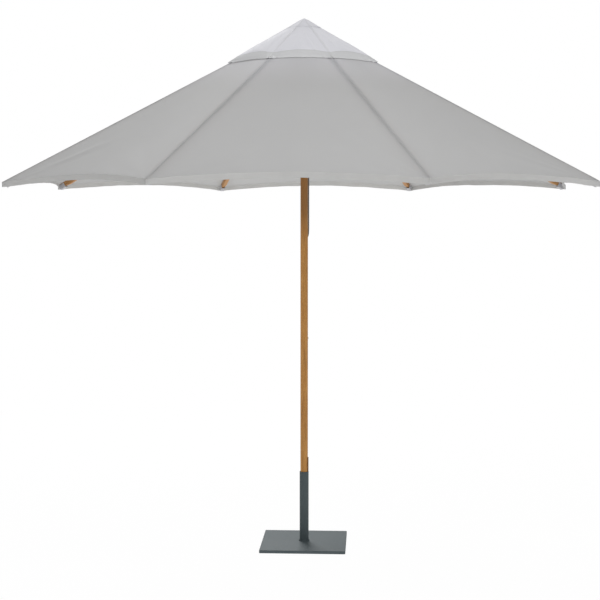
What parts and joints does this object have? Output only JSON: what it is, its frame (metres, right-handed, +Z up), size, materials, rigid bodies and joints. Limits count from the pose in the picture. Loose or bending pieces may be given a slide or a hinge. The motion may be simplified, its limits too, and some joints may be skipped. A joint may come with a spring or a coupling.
{
  "type": "patio umbrella with base",
  "caption": "Octagonal patio umbrella with a vent cap, folding wooden ribs and struts on a sliding runner, and a wooden pole in a steel plate base.",
  "frame": {"origin": "on the ground, at the middle of the base plate and on the pole's axis", "axes": "+Z up along the pole; X and Y along the base plate's sides, with -Y towards the front"},
  "size_m": [2.7716, 2.7716, 2.6641],
  "materials": {
    "canopy_cloth": "grey woven cloth, stitched seams and hems",
    "rib_wood": "oiled hardwood, straight grain",
    "pole_wood": "varnished hardwood, grain along the pole",
    "hub_wood": "turned hardwood",
    "wedge_wood": "thin hardwood shim",
    "base_steel": "grey powder coat",
    "fittings_steel": "zinc-plated steel",
    "pin_steel": "plain steel pin",
    "ferrule_steel": "drawn steel cap",
    "seat_plastic": "moulded nylon",
    "sheave_plastic": "turned nylon",
    "rope": "braided cord"
  },
  "bodies": {
    "base": {"base_plate": "base_steel", "base_tube": "base_steel"},
    "wedge": {"pole_wedge": "wedge_wood"},
    "seat": {"pole_seat": "seat_plastic"},
    "pole": {"pole_upper": "pole_wood", "pole_lower": "pole_wood", "pole_spigot": "pin_steel", "pole_ferrule": "ferrule_steel", "pole_screws": "fittings_steel", "top_hub": "hub_wood", "hub_pins": "pin_steel", "sheave_axle": "pin_steel", "crown_patch": "canopy_cloth", "hoist_rope": "rope", "rope_tail": "rope"},
    "sheave": {"sheave": "sheave_plastic"},
    "runner": {"runner": "hub_wood", "runner_pins": "pin_steel", "rope_eye": "pin_steel"},
    "rope_knot": {"rope_knot": "rope"},
    "rope_end": {"rope_end_knot": "rope"},
    "rib_1": {"rib_1": "rib_wood", "rib_bracket_1": "fittings_steel", "canopy_1": "canopy_cloth"},
    "strut_1": {"strut_1": "rib_wood"},
    "rib_2": {"rib_2": "rib_wood", "rib_bracket_2": "fittings_steel", "canopy_2": "canopy_cloth"},
    "strut_2": {"strut_2": "rib_wood"},
    "rib_3": {"rib_3": "rib_wood", "rib_bracket_3": "fittings_steel", "canopy_3": "canopy_cloth"},
    "strut_3": {"strut_3": "rib_wood"},
    "rib_4": {"rib_4": "rib_wood", "rib_bracket_4": "fittings_steel", "canopy_4": "canopy_cloth"},
    "strut_4": {"strut_4": "rib_wood"},
    "rib_5": {"rib_5": "rib_wood", "rib_bracket_5": "fittings_steel", "canopy_5": "canopy_cloth"},
    "strut_5": {"strut_5": "rib_wood"},
    "rib_6": {"rib_6": "rib_wood", "rib_bracket_6": "fittings_steel", "canopy_6": "canopy_cloth"},
    "strut_6": {"strut_6": "rib_wood"},
    "rib_7": {"rib_7": "rib_wood", "rib_bracket_7": "fittings_steel", "canopy_7": "canopy_cloth"},
    "strut_7": {"strut_7": "rib_wood"},
    "rib_8": {"rib_8": "rib_wood", "rib_bracket_8": "fittings_steel", "canopy_8": "canopy_cloth"},
    "strut_8": {"strut_8": "rib_wood"}
  },
  "joints": [
    {"name": "wedge_pull", "type": "slide", "parent": "base", "child": "wedge", "axis": [0, 0, 1], "range_m": [0, 0.12]},
    {"name": "pole_turn", "type": "hinge", "parent": "base", "child": "seat", "pos_m": [0, 0, 0.015], "axis": [0, 0, 1], "continuous": true},
    {"name": "pole_lift", "type": "slide", "parent": "seat", "child": "pole", "axis": [0, 0, 1], "range_m": [0, 0.353]},
    {"name": "canopy_fold", "type": "hinge", "parent": "pole", "child": "rib_1", "pos_m": [0.04619, 0.01913, 2.58643], "axis": [-0.3827, 0.9239, 0], "range_deg": [0, 59.08], "deforming": ["canopy_1", "hoist_rope", "rope_tail"]},
    {"name": "rib_2_hinge", "type": "hinge", "parent": "pole", "child": "rib_2", "pos_m": [0.01913, 0.04619, 2.58643], "axis": [-0.9239, 0.3827, 0], "range_deg": [0, 59.08], "deforming": ["canopy_2"]},
    {"name": "rib_3_hinge", "type": "hinge", "parent": "pole", "child": "rib_3", "pos_m": [-0.01913, 0.04619, 2.58643], "axis": [-0.9239, -0.3827, 0], "range_deg": [0, 59.08], "deforming": ["canopy_3"]},
    {"name": "rib_4_hinge", "type": "hinge", "parent": "pole", "child": "rib_4", "pos_m": [-0.04619, 0.01913, 2.58643], "axis": [-0.3827, -0.9239, 0], "range_deg": [0, 59.08], "deforming": ["canopy_4"]},
    {"name": "rib_5_hinge", "type": "hinge", "parent": "pole", "child": "rib_5", "pos_m": [-0.04619, -0.01913, 2.58643], "axis": [0.3827, -0.9239, 0], "range_deg": [0, 59.08], "deforming": ["canopy_5"]},
    {"name": "rib_6_hinge", "type": "hinge", "parent": "pole", "child": "rib_6", "pos_m": [-0.01913, -0.04619, 2.58643], "axis": [0.9239, -0.3827, 0], "range_deg": [0, 59.08], "deforming": ["canopy_6"]},
    {"name": "rib_7_hinge", "type": "hinge", "parent": "pole", "child": "rib_7", "pos_m": [0.01913, -0.04619, 2.58643], "axis": [0.9239, 0.3827, 0], "range_deg": [0, 59.08], "deforming": ["canopy_7"]},
    {"name": "rib_8_hinge", "type": "hinge", "parent": "pole", "child": "rib_8", "pos_m": [0.04619, -0.01913, 2.58643], "axis": [0.3827, 0.9239, 0], "range_deg": [0, 59.08], "deforming": ["canopy_8"]},
    {"name": "strut_1_hinge", "type": "hinge", "parent": "rib_1", "child": "strut_1", "pos_m": [0.54471, 0.22563, 2.26989], "axis": [-0.3827, 0.9239, 0], "range_deg": [-118.15, 0]},
    {"name": "strut_2_hinge", "type": "hinge", "parent": "rib_2", "child": "strut_2", "pos_m": [0.22563, 0.54471, 2.26989], "axis": [-0.9239, 0.3827, 0], "range_deg": [-118.15, 0]},
    {"name": "strut_3_hinge", "type": "hinge", "parent": "rib_3", "child": "strut_3", "pos_m": [-0.22563, 0.54471, 2.26989], "axis": [-0.9239, -0.3827, 0], "range_deg": [-118.15, 0]},
    {"name": "strut_4_hinge", "type": "hinge", "parent": "rib_4", "child": "strut_4", "pos_m": [-0.54471, 0.22563, 2.26989], "axis": [-0.3827, -0.9239, 0], "range_deg": [-118.15, 0]},
    {"name": "strut_5_hinge", "type": "hinge", "parent": "rib_5", "child": "strut_5", "pos_m": [-0.54471, -0.22563, 2.26989], "axis": [0.3827, -0.9239, 0], "range_deg": [-118.15, 0]},
    {"name": "strut_6_hinge", "type": "hinge", "parent": "rib_6", "child": "strut_6", "pos_m": [-0.22563, -0.54471, 2.26989], "axis": [0.9239, -0.3827, 0], "range_deg": [-118.15, 0]},
    {"name": "strut_7_hinge", "type": "hinge", "parent": "rib_7", "child": "strut_7", "pos_m": [0.22563, -0.54471, 2.26989], "axis": [0.9239, 0.3827, 0], "range_deg": [-118.15, 0]},
    {"name": "strut_8_hinge", "type": "hinge", "parent": "rib_8", "child": "strut_8", "pos_m": [0.54471, -0.22563, 2.26989], "axis": [0.3827, 0.9239, 0], "range_deg": [-118.15, 0]},
    {"name": "runner_level", "type": "hinge", "parent": "strut_1", "child": "runner", "pos_m": [0.04619, 0.01913, 1.95335], "axis": [-0.3827, 0.9239, 0], "range_deg": [0, 59.08]},
    {"name": "sheave_turn", "type": "hinge", "parent": "pole", "child": "sheave", "pos_m": [0, 0, 2.49943], "axis": [0, -1, 0], "continuous": true},
    {"name": "rope_knot_slide", "type": "slide", "parent": "pole", "child": "rope_knot", "axis": [0, 0, -1], "range_m": [0, 0.61803]},
    {"name": "rope_end_slide", "type": "slide", "parent": "pole", "child": "rope_end", "axis": [0, 0, 1], "range_m": [0, 0.61803]}
  ],
  "couplings": [
    {"joint": "rib_2_hinge", "follows": "canopy_fold", "ratio": 1},
    {"joint": "rib_3_hinge", "follows": "canopy_fold", "ratio": 1},
    {"joint": "rib_4_hinge", "follows": "canopy_fold", "ratio": 1},
    {"joint": "rib_5_hinge", "follows": "canopy_fold", "ratio": 1},
    {"joint": "rib_6_hinge", "follows": "canopy_fold", "ratio": 1},
    {"joint": "rib_7_hinge", "follows": "canopy_fold", "ratio": 1},
    {"joint": "rib_8_hinge", "follows": "canopy_fold", "ratio": 1},
    {"joint": "strut_1_hinge", "follows": "canopy_fold", "ratio": -2},
    {"joint": "strut_2_hinge", "follows": "canopy_fold", "ratio": -2},
    {"joint": "strut_3_hinge", "follows": "canopy_fold", "ratio": -2},
    {"joint": "strut_4_hinge", "follows": "canopy_fold", "ratio": -2},
    {"joint": "strut_5_hinge", "follows": "canopy_fold", "ratio": -2},
    {"joint": "strut_6_hinge", "follows": "canopy_fold", "ratio": -2},
    {"joint": "strut_7_hinge", "follows": "canopy_fold", "ratio": -2},
    {"joint": "strut_8_hinge", "follows": "canopy_fold", "ratio": -2},
    {"joint": "runner_level", "follows": "canopy_fold", "ratio": 1},
    {"joint": "sheave_turn", "follows": "canopy_fold", "ratio": 26.879},
    {"joint": "rope_knot_slide", "follows": "canopy_fold", "m_per_rad": 0.5994},
    {"joint": "rope_end_slide", "follows": "canopy_fold", "m_per_rad": 0.5994}
  ]
}
